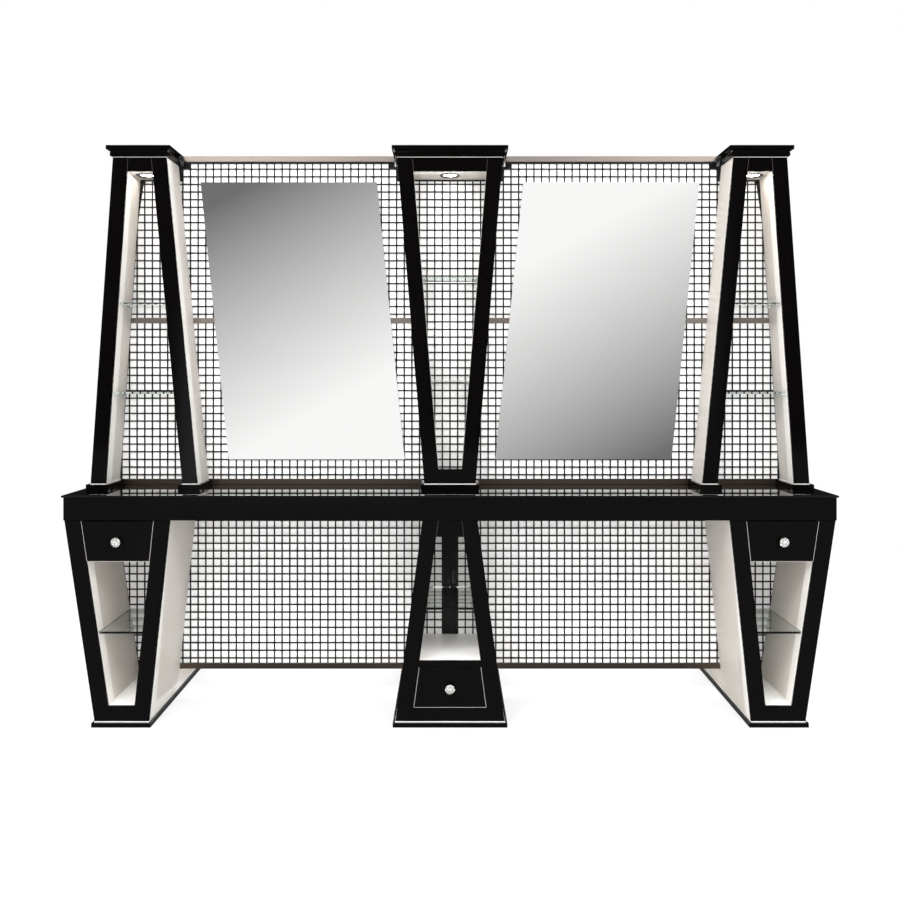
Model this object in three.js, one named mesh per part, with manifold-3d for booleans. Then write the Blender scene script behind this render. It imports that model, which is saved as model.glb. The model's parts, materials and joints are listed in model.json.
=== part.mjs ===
// A double sided salon station: three tapered towers on a long glass topped worktop, three tapered
// pedestals below it, and a latticed partition down the middle with leaning mirrors on both faces.
// Millimetres, +Z up. The origin is on the floor under the middle of the station, X runs along the
// worktop and the front looks along -Y. The rear half is the front half turned about Z.
import * as THREE from "three";
import { mergeVertices } from "three/addons/utils/BufferGeometryUtils.js";
import Module from "manifold-3d";

const wasm = await Module();
wasm.setup();

// Clearances
const SEAT_GAP = 0.3; // between two pieces that touch
const CUT_MARGIN = 2; // how far a cutting body reaches past what it cuts

// Worktop
const WORKTOP_LENGTH = 2854;
const WORKTOP_DEPTH = 690;
const WORKTOP_UNDERSIDE = 760; // height above the floor
const WORKTOP_BODY_HEIGHT = 84.7;
const WORKTOP_GLASS = 8; // thickness of the glass plate
const GLASS_OVERHANG = 6;
const EDGE_BEVEL = 1.5;

// Side towers, from the worktop up: narrow at the top
const TOWER_HEIGHT = 1276; // from the foot blocks to the cap
const TOWER_DEPTH = 336; // over both facings
const SIDE_TOWER_SETBACK = 26; // foot of the outer edge, in from the end of the worktop
const SIDE_TOWER_FOOT_WIDTH = 416.5;
const SIDE_TOWER_TOP_WIDTH = 208;
const SIDE_TOWER_LEAN = 87; // of the outer edge
const SIDE_TOWER_SHELVES = { lower: 379, upper: 729 }; // top faces, above the worktop

// Centre tower: narrow at the foot
const CENTRE_TOWER_FOOT_WIDTH = 200;
const CENTRE_TOWER_TOP_WIDTH = 412;
const CENTRE_TOWER_FOOT_RAIL = 59;
const CENTRE_TOWER_SHELVES = { lower: 427, upper: 830 };

// Tower fittings
const TOWER_TOP_RAIL = 56;
const CEILING_THICKNESS = 54;
const FOOT_HEIGHT = 18.7;
const FOOT_OVERHANG = 13;
const DOWNLIGHT_DIAMETER = 76;
const DOWNLIGHT_RECESS = 12;
const DOWNLIGHT_FACETS = 12;

// Cap moulding: a foot fillet, a band, a cove and a top band
const CAP_FILLET = { height: 3, overhang: 3 };
const CAP_BAND = { height: 13, overhang: 9 };
const CAP_COVE_HEIGHT = 10;
const CAP_COVE_INSET = 14; // how far the foot of the cove lies behind the top band
const CAP_TOP = { height: 15, overhang: 20 };
const COVE_STEPS = 4;

// Side pedestals: wide at the top
const PEDESTAL_SETBACK = 4; // top of the outer edge, in from the end of the worktop
const SIDE_PEDESTAL_TOP_WIDTH = 390;
const SIDE_PEDESTAL_FOOT_WIDTH = 200;
const SIDE_PEDESTAL_LEAN = 111.5; // of the outer edge
const SIDE_PEDESTAL_FOOT_RAIL = 60;
const SIDE_PEDESTAL_SHELF = 346; // top face, above the floor
const SIDE_DRAWER_HEIGHT = 148;
const SIDE_DRAWER_TOP_GAP = 3; // under the apron

// Centre pedestal: wide at the foot
const CENTRE_PEDESTAL_TOP_WIDTH = 204;
const CENTRE_PEDESTAL_FOOT_WIDTH = 404;
const CENTRE_PEDESTAL_FOOT_RAIL = 53;
const CENTRE_PEDESTAL_TOP_RAIL = 60;
const CENTRE_DRAWER_OPENING = 151;
const CENTRE_DRAWER_RAIL = 23; // over the drawer
const CENTRE_PEDESTAL_SHELF = 435;

// Plinths
const PLINTH_HEIGHT = 16;
const PLINTH_OVERHANG = 9;

// Face frames and panels
const FACING_THICKNESS = 8;
const LEG_WIDTH = 59; // of a facing, measured level
const RETURN_DEPTH = 50; // the white edge behind a facing
const RETURN_STEP = 3; // how far the wall stands back behind that edge
const BOARD_THICKNESS = 16;

// Drawers
const DRAWER_GAP = 1.5; // around a drawer front
const DRAWER_FRONT_THICKNESS = 18;
const DRAWER_BOX_DEPTH = 270;
const DRAWER_BOX_SIDE_GAP = 3;
const DRAWER_BOX_WALL = 12;
const DRAWER_BOX_BOTTOM = 8;
const DRAWER_BOX_HEIGHT = 110;

// Crystal knobs
const KNOB_DIAMETER = 35;
const KNOB_BASE_DIAMETER = 18;
const KNOB_NECK_DIAMETER = 11;
const KNOB_BASE_HEIGHT = 4;
const KNOB_NECK_HEIGHT = 6;
const KNOB_PAVILION = { height: 5, diameter: 28 }; // heights are from the neck up
const KNOB_GIRDLE_HEIGHT = 12;
const KNOB_CROWN = { height: 20, diameter: 28 };
const KNOB_TABLE = { height: 24, diameter: 16 };
const KNOB_FACETS = 8;

// Glass shelves
const SHELF_THICKNESS = 8;
const SHELF_SETBACK = 8; // behind the facing

// Partition
const CORE_THICKNESS = 18;
const LATTICE_PITCH = 31.15;
const LATTICE_BAR = 5.5;
const LATTICE_LAYER = 2.5; // uprights lie on the board, crossbars lie over them
const LATTICE_TOP_BAR = 51; // uppermost crossbar, down from the top of the caps
const LATTICE_BORDER = 9;
const WORKTOP_RAIL = 22;
const TOP_RAIL = 21;
const MID_RAIL = 22;
const MID_RAIL_ABOVE_WORKTOP = 656; // its lower edge
const FOOT_RAIL = 23;
const PANEL_CLEARANCE = 101; // under the lower panel
const CENTRE_POST = 53;
const PANEL_HOUSING = 6; // depth of the groove in an outer wall

// Mirrors
const MIRROR_WIDTH = 717;
const MIRROR_HEIGHT = 1128;
const MIRROR_LEAN = 114;
const MIRROR_THICKNESS = 5;
const MIRROR_ABOVE_WORKTOP = 102;

// Heights and depths that follow from the sizes above
const worktopTop = WORKTOP_UNDERSIDE + WORKTOP_BODY_HEIGHT + SEAT_GAP + WORKTOP_GLASS;
const footBase = worktopTop + SEAT_GAP;
const towerFoot = footBase + FOOT_HEIGHT;
const towerTop = towerFoot + TOWER_HEIGHT;
const capHeight = CAP_FILLET.height + CAP_BAND.height + CAP_COVE_HEIGHT + CAP_TOP.height;
const capTop = towerTop + capHeight;
const ceiling = towerTop - CEILING_THICKNESS;
const pedestalTop = WORKTOP_UNDERSIDE - SEAT_GAP;
const wallThickness = LEG_WIDTH - RETURN_STEP;
const towerFront = TOWER_DEPTH / 2;
const pedestalFront = WORKTOP_DEPTH / 2;
const uprightFace = CORE_THICKNESS / 2 + SEAT_GAP + LATTICE_LAYER;
const panelFace = uprightFace + SEAT_GAP + LATTICE_LAYER;
const slotHalf = panelFace + SEAT_GAP;
const latticeTop = capTop - TOP_RAIL - SEAT_GAP;

// Finishes
const finish = (color, roughness, metalness) =>
  new THREE.MeshStandardMaterial({ color, roughness, metalness });
const blackLacquer = finish(0x0b0a0b, 0.12, 0);
const blackGlass = finish(0x050506, 0.05, 0);
const whiteLacquer = finish(0xe6ded4, 0.2, 0);
const whiteBoard = finish(0xf6f5f3, 0.35, 0);
const latticeBlack = finish(0x141313, 0.3, 0);
const clearGlass = finish(0xcfe3dc, 0.05, 0);
const mirrorSilver = finish(0xdfe4e6, 0.02, 1);
const crystal = finish(0xf2f4f5, 0.04, 0);

// A closed geometry as a solid that can be joined and cut.
function toSolid(geometry) {
  const bare = geometry.clone();
  bare.deleteAttribute("normal");
  bare.deleteAttribute("uv");
  const merged = mergeVertices(bare, 1e-4);
  const vertProperties = merged.getAttribute("position").array;
  const triVerts = new Uint32Array(merged.index.array);
  return new wasm.Manifold(new wasm.Mesh({ numProp: 3, vertProperties, triVerts }));
}

function toMesh(name, solid, material) {
  const { vertProperties, triVerts } = solid.getMesh();
  const geometry = new THREE.BufferGeometry();
  geometry.setAttribute("position", new THREE.BufferAttribute(vertProperties, 3));
  geometry.setIndex(new THREE.BufferAttribute(triVerts, 1));
  geometry.computeVertexNormals();
  const mesh = new THREE.Mesh(geometry, material);
  mesh.name = name;
  return mesh;
}

const pathOf = (Kind, points) => new Kind(points.map(([x, z]) => new THREE.Vector2(x, z)));

// An outline drawn as X and Z, with any holes, run along Y from back to front.
function prism(outline, [yFrom, yTo], holes = []) {
  const shape = pathOf(THREE.Shape, outline);
  shape.holes = holes.map((hole) => pathOf(THREE.Path, hole));
  const geometry = new THREE.ExtrudeGeometry(shape, { depth: yTo - yFrom, bevelEnabled: false });
  geometry.rotateX(Math.PI / 2);
  geometry.translate(0, yTo, 0);
  return toSolid(geometry);
}

const rectangle = ([x0, x1], [z0, z1]) => [[x0, z0], [x1, z0], [x1, z1], [x0, z1]];

const box = (xs, ys, zs) => prism(rectangle(xs, zs), ys);

// A level slab with bevelled edges all round.
function slab(length, depth, [z0, z1]) {
  const shape = pathOf(THREE.Shape, rectangle([-length / 2, length / 2], [-depth / 2, depth / 2]));
  const geometry = new THREE.ExtrudeGeometry(shape, {
    depth: z1 - z0 - 2 * EDGE_BEVEL,
    bevelThickness: EDGE_BEVEL,
    bevelSize: EDGE_BEVEL,
    bevelOffset: -EDGE_BEVEL,
    bevelSegments: 1,
  });
  geometry.translate(0, 0, z0 + EDGE_BEVEL);
  return toSolid(geometry);
}

// A stack of level rectangles, from the lowest to the highest, as one closed moulding.
function moulding(rings) {
  const positions = rings.flatMap(({ x, y, z }) => [
    x[0], y[0], z, x[1], y[0], z, x[1], y[1], z, x[0], y[1], z,
  ]);
  const last = 4 * (rings.length - 1);
  const triangles = [0, 2, 1, 0, 3, 2, last, last + 1, last + 2, last, last + 2, last + 3];
  for (let ring = 0; ring < last; ring += 4) {
    for (let side = 0; side < 4; side++) {
      const a = ring + side;
      const b = ring + ((side + 1) % 4);
      triangles.push(a, b, b + 4, a, b + 4, a + 4);
    }
  }
  const geometry = new THREE.BufferGeometry();
  geometry.setAttribute("position", new THREE.Float32BufferAttribute(positions, 3));
  geometry.setIndex(triangles);
  return toSolid(geometry);
}

// A column seen from the front: two straight edges that lean between its foot and its top.
function column(foot, top, footEdges, topEdges) {
  const edge = (side) => (z) => {
    const share = (z - foot) / (top - foot);
    return footEdges[side] + (topEdges[side] - footEdges[side]) * share;
  };
  return { foot, top, left: edge(0), right: edge(1) };
}

const mirrored = (c) => ({ ...c, left: (z) => -c.right(z), right: (z) => -c.left(z) });
const middle = (c, z) => (c.left(z) + c.right(z)) / 2;

// The part of a column between two heights, drawn in from both edges.
const band = (c, [z0, z1], inset = 0) => [
  [c.left(z0) + inset, z0],
  [c.right(z0) - inset, z0],
  [c.right(z1) - inset, z1],
  [c.left(z1) + inset, z1],
];

// Two legs joined by a head above the height called inner.
const arch = (c, [z0, z1], inner, leg) => [
  [c.left(z0), z0],
  [c.left(z0) + leg, z0],
  [c.left(inner) + leg, inner],
  [c.right(inner) - leg, inner],
  [c.right(z0) - leg, z0],
  [c.right(z0), z0],
  [c.right(z1), z1],
  [c.left(z1), z1],
];

// Two legs joined by a floor below the height called inner.
const trough = (c, [z0, z1], inner, leg) => [
  [c.left(z0), z0],
  [c.right(z0), z0],
  [c.right(z1), z1],
  [c.right(z1) - leg, z1],
  [c.right(inner) - leg, inner],
  [c.left(inner) + leg, inner],
  [c.left(z1) + leg, z1],
  [c.left(z1), z1],
];

// The six columns
const towerOuterFoot = WORKTOP_LENGTH / 2 - SIDE_TOWER_SETBACK;
const towerOuterTop = towerOuterFoot - SIDE_TOWER_LEAN;
const rightTower = column(
  towerFoot,
  towerTop,
  [towerOuterFoot - SIDE_TOWER_FOOT_WIDTH, towerOuterFoot],
  [towerOuterTop - SIDE_TOWER_TOP_WIDTH, towerOuterTop],
);
const centreTower = column(
  towerFoot,
  towerTop,
  [-CENTRE_TOWER_FOOT_WIDTH / 2, CENTRE_TOWER_FOOT_WIDTH / 2],
  [-CENTRE_TOWER_TOP_WIDTH / 2, CENTRE_TOWER_TOP_WIDTH / 2],
);
const pedestalOuterTop = WORKTOP_LENGTH / 2 - PEDESTAL_SETBACK;
const pedestalOuterFoot = pedestalOuterTop - SIDE_PEDESTAL_LEAN;
const rightPedestal = column(
  PLINTH_HEIGHT,
  pedestalTop,
  [pedestalOuterFoot - SIDE_PEDESTAL_FOOT_WIDTH, pedestalOuterFoot],
  [pedestalOuterTop - SIDE_PEDESTAL_TOP_WIDTH, pedestalOuterTop],
);
const centrePedestal = column(
  PLINTH_HEIGHT,
  pedestalTop,
  [-CENTRE_PEDESTAL_FOOT_WIDTH / 2, CENTRE_PEDESTAL_FOOT_WIDTH / 2],
  [-CENTRE_PEDESTAL_TOP_WIDTH / 2, CENTRE_PEDESTAL_TOP_WIDTH / 2],
);
const sides = {
  left: { tower: mirrored(rightTower), pedestal: mirrored(rightPedestal), passes: [false, true] },
  centre: { tower: centreTower, pedestal: centrePedestal, passes: [true, true] },
  right: { tower: rightTower, pedestal: rightPedestal, passes: [true, false] },
};

// The levels inside the pedestals
const sideFloor = PLINTH_HEIGHT + SIDE_PEDESTAL_FOOT_RAIL;
const sideDrawerTop = WORKTOP_UNDERSIDE - SIDE_DRAWER_TOP_GAP;
const sideDrawerFoot = sideDrawerTop - SIDE_DRAWER_HEIGHT;
const sideBoard = sideDrawerFoot + DRAWER_GAP;
const centreFloor = PLINTH_HEIGHT + CENTRE_PEDESTAL_FOOT_RAIL;
const centreDrawerHead = centreFloor + CENTRE_DRAWER_OPENING;
const centreBoardTop = centreDrawerHead + CENTRE_DRAWER_RAIL;

// The slot that lets the partition pass through a column, or be housed in its outer wall.
function panelSlot(c, passes, [z0, z1]) {
  const housed = wallThickness - PANEL_HOUSING - SEAT_GAP;
  const left = (z) => c.left(z) + (passes[0] ? -CUT_MARGIN : housed);
  const right = (z) => c.right(z) - (passes[1] ? -CUT_MARGIN : housed);
  const outline = [[left(z0), z0], [right(z0), z0], [right(z1), z1], [left(z1), z1]];
  return prism(outline, [-slotHalf, slotHalf]);
}

// White tower: two box walls with deeper white edges behind the facings, and a ceiling.
function towerCarcass(c, passes) {
  const heights = [c.foot + SEAT_GAP, c.top - SEAT_GAP];
  const front = towerFront - FACING_THICKNESS - SEAT_GAP;
  const edge = arch(c, heights, ceiling, LEG_WIDTH);
  const recess = new THREE.CylinderGeometry(
    DOWNLIGHT_DIAMETER / 2,
    DOWNLIGHT_DIAMETER / 2,
    DOWNLIGHT_RECESS + CUT_MARGIN,
    DOWNLIGHT_FACETS,
  );
  recess.rotateX(Math.PI / 2);
  const lampY = (front + slotHalf) / 2;
  const lampZ = ceiling + (DOWNLIGHT_RECESS - CUT_MARGIN) / 2;
  const lamp = toSolid(recess).translate([middle(c, ceiling), 0, lampZ]);
  return prism(arch(c, heights, ceiling, wallThickness), [-front, front])
    .add(prism(edge, [-front, RETURN_DEPTH - front]))
    .add(prism(edge, [front - RETURN_DEPTH, front]))
    .subtract(panelSlot(c, passes, [c.foot - CUT_MARGIN, ceiling]))
    .subtract(lamp.translate([0, -lampY, 0]))
    .subtract(lamp.translate([0, lampY, 0]));
}

// White pedestal: two box walls with deeper white edges, a floor and the board by the drawers.
function pedestalCarcass(c, passes, floor, boardFoot, boardSetback) {
  const heights = [c.foot + SEAT_GAP, c.top];
  const front = pedestalFront - FACING_THICKNESS - SEAT_GAP;
  const edge = trough(c, heights, floor, LEG_WIDTH);
  const boardFront = front - boardSetback;
  const board = band(c, [boardFoot, boardFoot + BOARD_THICKNESS], wallThickness / 2);
  return prism(trough(c, heights, floor, wallThickness), [-front, front])
    .add(prism(edge, [-front, RETURN_DEPTH - front]))
    .add(prism(edge, [front - RETURN_DEPTH, front]))
    .add(prism(board, [-boardFront, boardFront]))
    .subtract(panelSlot(c, passes, [PANEL_CLEARANCE - SEAT_GAP, c.top + CUT_MARGIN]));
}

// The cap moulding over one half of a tower.
function halfCap(c) {
  const x0 = c.left(c.top);
  const x1 = c.right(c.top);
  const rings = [];
  let z = c.top;
  const ring = (overhang, height = 0) => {
    z += height;
    rings.push({
      x: [x0 - overhang, x1 + overhang],
      y: [-towerFront - overhang, -SEAT_GAP / 2],
      z,
    });
  };
  ring(CAP_FILLET.overhang);
  ring(CAP_FILLET.overhang, CAP_FILLET.height);
  ring(CAP_BAND.overhang);
  ring(CAP_BAND.overhang, CAP_BAND.height);
  for (let step = 0; step <= COVE_STEPS; step++) {
    const turn = ((Math.PI / 2) * step) / COVE_STEPS;
    const before = ((Math.PI / 2) * Math.max(step - 1, 0)) / COVE_STEPS;
    const rise = CAP_COVE_HEIGHT * (Math.sin(turn) - Math.sin(before));
    ring(CAP_TOP.overhang - CAP_COVE_INSET * Math.cos(turn), rise);
  }
  ring(CAP_TOP.overhang, CAP_TOP.height);
  return moulding(rings);
}

// A foot block from the partition to the front of a tower.
const footBlock = (xLeft, xRight) =>
  box(
    [xLeft - FOOT_OVERHANG, xRight + FOOT_OVERHANG],
    [-towerFront - FOOT_OVERHANG, -slotHalf],
    [footBase, towerFoot],
  );

// Black front of a tower, with the half cap on it and the foot blocks that it stands on.
function towerFacing(c, closedFoot) {
  const heights = [footBase + FOOT_HEIGHT / 2, c.top + CAP_FILLET.height + CAP_BAND.height / 2];
  const depths = [-towerFront, FACING_THICKNESS - towerFront];
  const head = c.top - TOWER_TOP_RAIL;
  const left = c.left(c.foot);
  const right = c.right(c.foot);
  if (closedFoot) {
    const opening = band(c, [c.foot + CENTRE_TOWER_FOOT_RAIL, head], LEG_WIDTH);
    return prism(band(c, heights), depths, [opening])
      .add(footBlock(left, right))
      .add(halfCap(c));
  }
  return prism(arch(c, heights, head, LEG_WIDTH), depths)
    .add(footBlock(left, left + LEG_WIDTH))
    .add(footBlock(right - LEG_WIDTH, right))
    .add(halfCap(c));
}

const plinth = (c) =>
  box(
    [c.left(c.foot) - PLINTH_OVERHANG, c.right(c.foot) + PLINTH_OVERHANG],
    [-pedestalFront - PLINTH_OVERHANG, -SEAT_GAP / 2],
    [0, PLINTH_HEIGHT],
  );

// Black front of a pedestal with its half of the plinth.
function sidePedestalFacing(c) {
  const depths = [-pedestalFront, FACING_THICKNESS - pedestalFront];
  const outline = trough(c, [PLINTH_HEIGHT / 2, c.top], sideFloor, LEG_WIDTH);
  return prism(outline, depths).add(plinth(c));
}

function centrePedestalFacing(c) {
  const depths = [-pedestalFront, FACING_THICKNESS - pedestalFront];
  const holes = [
    band(c, [centreFloor, centreDrawerHead], LEG_WIDTH),
    band(c, [centreBoardTop, c.top - CENTRE_PEDESTAL_TOP_RAIL], LEG_WIDTH),
  ];
  return prism(band(c, [PLINTH_HEIGHT / 2, c.top]), depths, holes).add(plinth(c));
}

// A drawer: an open box behind a front that lies flush between the legs.
function drawer(c, frontHeights, boxFoot) {
  const frontBack = DRAWER_FRONT_THICKNESS - pedestalFront;
  const boxBack = frontBack + DRAWER_BOX_DEPTH;
  const boxTop = boxFoot + DRAWER_BOX_HEIGHT;
  const side = LEG_WIDTH + DRAWER_BOX_SIDE_GAP;
  const cavityHeights = [boxFoot + DRAWER_BOX_BOTTOM, boxTop + CUT_MARGIN];
  const cavity = band(c, cavityHeights, side + DRAWER_BOX_WALL);
  const cavityDepths = [frontBack + DRAWER_BOX_WALL, boxBack - DRAWER_BOX_WALL];
  const front = band(c, frontHeights, LEG_WIDTH + DRAWER_GAP);
  return prism(band(c, [boxFoot, boxTop], side), [frontBack, boxBack])
    .subtract(prism(cavity, cavityDepths))
    .add(prism(front, [-pedestalFront, frontBack]));
}

// A cut crystal knob on a round base, turned about the line that it is pulled along.
function knob() {
  const neckTop = KNOB_BASE_HEIGHT + KNOB_NECK_HEIGHT;
  const profile = [
    [0, 0],
    [KNOB_BASE_DIAMETER, 0],
    [KNOB_BASE_DIAMETER, KNOB_BASE_HEIGHT],
    [KNOB_NECK_DIAMETER, KNOB_BASE_HEIGHT],
    [KNOB_NECK_DIAMETER, neckTop],
    [KNOB_PAVILION.diameter, neckTop + KNOB_PAVILION.height],
    [KNOB_DIAMETER, neckTop + KNOB_GIRDLE_HEIGHT],
    [KNOB_CROWN.diameter, neckTop + KNOB_CROWN.height],
    [KNOB_TABLE.diameter, neckTop + KNOB_TABLE.height],
    [0, neckTop + KNOB_TABLE.height],
  ];
  const points = profile.map(([diameter, height]) => new THREE.Vector2(diameter / 2, height));
  const geometry = new THREE.LatheGeometry(points, KNOB_FACETS);
  geometry.rotateX(Math.PI);
  return toSolid(geometry);
}

// A glass shelf between the legs of a column, from the partition to the facing.
function shelf(c, top, front) {
  const depths = [SHELF_SETBACK + FACING_THICKNESS - front, -slotHalf];
  return prism(band(c, [top - SHELF_THICKNESS, top], LEG_WIDTH + SEAT_GAP), depths);
}

// The edges of the partition in the right half: its end, and the bay between two towers, which is
// narrower between their caps.
const housedEnd = (c) => (z) => c.right(z) - wallThickness + PANEL_HOUSING;
const upperEnd = housedEnd(rightTower);
const lowerEnd = housedEnd(rightPedestal);
const bayRight = (z) => rightTower.left(z) - SEAT_GAP;
const bayLeft = (z) => centreTower.right(z) + SEAT_GAP;
const capRight = bayRight(towerTop) - CAP_TOP.overhang;
const capLeft = bayLeft(towerTop) + CAP_TOP.overhang;

// The partition's outline above the worktop, for the right half: it passes the right tower, steps
// up beside its cap, runs under the top of the bay and steps down again at the centre tower.
function upperHalfOutline(bayTop) {
  const underCeiling = ceiling - SEAT_GAP;
  const underCap = towerTop - SEAT_GAP;
  return [
    [rightTower.right(towerFoot), footBase],
    [rightTower.right(towerFoot), towerFoot],
    [upperEnd(towerFoot), towerFoot],
    [upperEnd(underCeiling), underCeiling],
    [bayRight(underCeiling), underCeiling],
    [bayRight(underCap), underCap],
    [capRight, underCap],
    [capRight, bayTop],
    [capLeft, bayTop],
    [capLeft, underCap],
    [bayLeft(underCap), underCap],
    [bayLeft(underCeiling), underCeiling],
  ];
}

// A right half joined to its mirror image.
const bothHalves = (half) => [...half, ...half.map(([x, z]) => [-x, z]).reverse()];

const lowerOutline = bothHalves([
  [lowerEnd(PANEL_CLEARANCE), PANEL_CLEARANCE],
  [lowerEnd(pedestalTop), pedestalTop],
]);

const coreDepths = [-CORE_THICKNESS / 2, CORE_THICKNESS / 2];

// White board above the worktop, with the rails along the top of the two bays.
function upperCore() {
  const rail = box([capLeft, capRight], [-panelFace, panelFace], [capTop - TOP_RAIL, capTop]);
  return prism(bothHalves(upperHalfOutline(capTop)), coreDepths)
    .add(rail)
    .add(rail.mirror([1, 0, 0]));
}

// The open stretches left between bars of a pattern, from one limit to another.
function gapsBetween(bars, from, to) {
  const gaps = [];
  let start = from;
  const within = bars.filter(([low]) => low < to).sort((a, b) => a[0] - b[0]);
  for (const [low, high] of within) {
    if (low > start) gaps.push([start, low]);
    start = Math.max(start, high);
  }
  if (start < to) gaps.push([start, to]);
  return gaps.filter(([low, high]) => high - low > LATTICE_BAR / 2);
}

// Bars of one width at every pitch from a first one, over a range.
function barsAtPitch(first, from, to) {
  const bars = [];
  for (let n = Math.ceil((from - first) / LATTICE_PITCH); first + n * LATTICE_PITCH <= to; n++) {
    const centre = first + n * LATTICE_PITCH;
    bars.push([centre - LATTICE_BAR / 2, centre + LATTICE_BAR / 2]);
  }
  return bars;
}

const crossbarHeight = capTop - LATTICE_TOP_BAR;
const uprightDepths = [-uprightFace, -CORE_THICKNESS / 2 - SEAT_GAP];
const crossbarDepths = [-panelFace, -uprightFace - SEAT_GAP];
const tieDepths = [-panelFace + LATTICE_LAYER / 2, -uprightFace + LATTICE_LAYER / 2];

// The height at which a leaning end, less one bar, stands at a given distance from the middle.
const leanHeight = (end, [z0, z1], x) =>
  z0 + ((Math.abs(x) + LATTICE_BAR - end(z0)) * (z1 - z0)) / (end(z1) - end(z0));

// Windows between uprights; low and high give the open height at either side of a window.
const uprightWindows = (reach, extraBars, low, high) =>
  gapsBetween([...barsAtPitch(0, -reach, reach), ...extraBars], -reach, reach)
    .map(([x0, x1]) => [
      [x0, low(x0)],
      [x1, low(x1)],
      [x1, high(x1, x0)],
      [x0, high(x0, x1)],
    ])
    .filter(([a, b, c, d]) => Math.min(c[1] - b[1], d[1] - a[1]) > LATTICE_BAR);

const trapezoid = ([z0, z1], left, right) => [
  [left(z0), z0],
  [right(z0), z0],
  [right(z1), z1],
  [left(z1), z1],
];

// One layer of a lattice: a plate with its windows cut through.
function pierced(outline, [yFrom, yTo], windows) {
  const through = [yFrom - CUT_MARGIN, yTo + CUT_MARGIN];
  const cuts = wasm.Manifold.union(windows.map((window) => prism(window, through)));
  return prism(outline, [yFrom, yTo]).subtract(cuts);
}

// A strip inside the borders that holds the two layers of a lattice together.
const tie = ([x0, x1], [z0, z1]) =>
  box([x0 + CUT_MARGIN, x1 - CUT_MARGIN], tieDepths, [z0 + CUT_MARGIN, z1 - CUT_MARGIN]);

// Black lattice above the worktop: its foot is the rail on the worktop, and a wider crossbar is
// the middle rail, which the centre tower interrupts.
function upperLattice() {
  const outline = bothHalves(upperHalfOutline(latticeTop));
  const foot = footBase + WORKTOP_RAIL;
  const shoulder = ceiling - SEAT_GAP - LATTICE_BAR;
  const capShoulder = towerTop - SEAT_GAP - LATTICE_BAR;
  const head = latticeTop - LATTICE_BORDER;
  const endLeft = (z) => LATTICE_BAR - upperEnd(z);
  const endRight = (z) => upperEnd(z) - LATTICE_BAR;
  const openRight = (z) => bayRight(z) - LATTICE_BAR;
  const openLeft = (z) => bayLeft(z) + LATTICE_BAR;
  const openCapRight = capRight - LATTICE_BAR;
  const openCapLeft = capLeft + LATTICE_BAR;

  const stepTop = (x) => {
    const across = Math.abs(x);
    if (across < openLeft(shoulder) || across > openRight(shoulder)) return shoulder;
    return across < openCapLeft || across > openCapRight ? capShoulder : head;
  };
  const high = (x, other) =>
    Math.min(stepTop(x), stepTop(other), leanHeight(upperEnd, [towerFoot, ceiling], x));
  const windows = uprightWindows(endRight(foot), [], () => foot, high);

  const rail = [worktopTop + MID_RAIL_ABOVE_WORKTOP, worktopTop + MID_RAIL_ABOVE_WORKTOP + MID_RAIL];
  const crossbars = barsAtPitch(crossbarHeight, foot, head);
  const rows = gapsBetween([...crossbars, rail], foot, head).flatMap(([z0, z1]) => {
    if (z1 <= shoulder) return [trapezoid([z0, z1], endLeft, endRight)];
    const underCap = z1 <= capShoulder;
    const right = underCap ? openRight : () => openCapRight;
    const left = underCap ? openLeft : () => openCapLeft;
    if (z0 >= shoulder) {
      const bay = trapezoid([z0, z1], left, right);
      return [bay, bay.map(([x, z]) => [-x, z])];
    }
    return [
      bothHalves([
        [endRight(z0), z0],
        [endRight(shoulder), shoulder],
        [right(shoulder), shoulder],
        [right(z1), z1],
        [left(z1), z1],
        [left(shoulder), shoulder],
      ]),
    ];
  });

  let crossLayer = pierced(outline, crossbarDepths, rows);
  const behindCentre = centreTower.right(rail[0]) - wallThickness / 2;
  for (const stretch of gapsBetween(crossbars, rail[0] - CUT_MARGIN, rail[1] + CUT_MARGIN)) {
    const through = [crossbarDepths[0] - CUT_MARGIN, crossbarDepths[1] + CUT_MARGIN];
    crossLayer = crossLayer.subtract(box([-behindCentre, behindCentre], through, stretch));
  }
  return pierced(outline, uprightDepths, windows)
    .add(crossLayer)
    .add(tie([-upperEnd(towerFoot), upperEnd(towerFoot)], [footBase, foot]))
    .add(tie([openCapLeft, openCapRight], [head, latticeTop]))
    .add(tie([-openCapRight, -openCapLeft], [head, latticeTop]));
}

// Black lattice below the worktop, with a rail along its foot and a double post in the middle.
function lowerLattice() {
  const foot = PANEL_CLEARANCE + FOOT_RAIL;
  const head = pedestalTop - LATTICE_BORDER;
  const post = [-CENTRE_POST / 2, CENTRE_POST / 2];
  const low = (x) => Math.max(foot, leanHeight(lowerEnd, [PANEL_CLEARANCE, pedestalTop], x));
  const endLeft = (z) => LATTICE_BAR - lowerEnd(z);
  const endRight = (z) => lowerEnd(z) - LATTICE_BAR;
  const windows = uprightWindows(endRight(head), [post], low, () => head);
  const rows = gapsBetween(barsAtPitch(crossbarHeight, foot, head), foot, head).flatMap((row) => [
    trapezoid(row, endLeft, () => post[0]),
    trapezoid(row, () => post[1], endRight),
  ]);
  const reach = lowerEnd(PANEL_CLEARANCE);
  return pierced(lowerOutline, uprightDepths, windows)
    .add(pierced(lowerOutline, crossbarDepths, rows))
    .add(tie([-reach, reach], [PANEL_CLEARANCE, foot]))
    .add(tie([-reach, reach], [head, pedestalTop]))
    .add(tie(post, [PANEL_CLEARANCE, pedestalTop]));
}

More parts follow.
